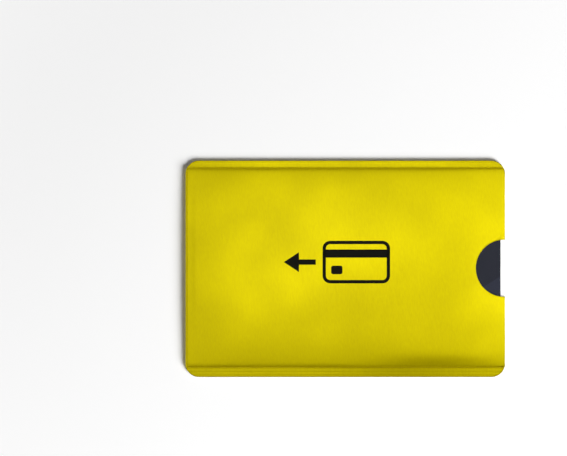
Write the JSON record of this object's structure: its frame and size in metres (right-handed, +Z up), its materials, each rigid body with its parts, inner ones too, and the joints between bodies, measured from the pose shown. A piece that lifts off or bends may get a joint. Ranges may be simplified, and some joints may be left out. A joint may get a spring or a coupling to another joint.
{
  "type": "card sleeve",
  "caption": "Flat folded foil-laminate sleeve that holds and shields a contactless card, with heat-sealed long sides and a thumb notch at its mouth.",
  "frame": {"origin": "middle of the sleeve's plan, on the surface it lies on", "axes": "+X out of the mouth along the sleeve's length, +Y towards the upper long seal, +Z up through the printed panel"},
  "size_m": [0.09, 0.061, 0.0021],
  "materials": {
    "metallised_film": "satin",
    "shielding_foil": "satin",
    "paper_liner": "matte",
    "seal_bead": "satin",
    "printed_card": "matte",
    "white_card": "matte",
    "antenna_foil": "satin",
    "front_overlay": "satin",
    "rear_overlay": "satin",
    "plated_contacts": "polished",
    "potting_resin": "matte",
    "stripe_film": "satin",
    "writing_strip": "matte"
  },
  "bodies": {
    "sleeve": {"front_film": "metallised_film", "rear_film": "metallised_film", "fold_film": "metallised_film", "front_foil": "shielding_foil", "rear_foil": "shielding_foil", "fold_foil": "shielding_foil", "front_liner": "paper_liner", "rear_liner": "paper_liner", "fold_liner": "paper_liner", "upper_seal": "seal_bead", "lower_seal": "seal_bead"},
    "card": {"card_front_sheet": "printed_card", "card_rear_sheet": "white_card", "antenna_inlay": "white_card", "antenna_coil": "antenna_foil", "front_overlay": "front_overlay", "rear_overlay": "rear_overlay", "contact_plate": "plated_contacts", "chip_capsule": "potting_resin", "magnetic_stripe": "stripe_film", "signature_panel": "writing_strip"}
  },
  "joints": [
    {"name": "card_slide", "type": "slide", "parent": "sleeve", "child": "card", "axis": [1, 0, 0], "range_m": [-0.0024, 0.088]}
  ]
}
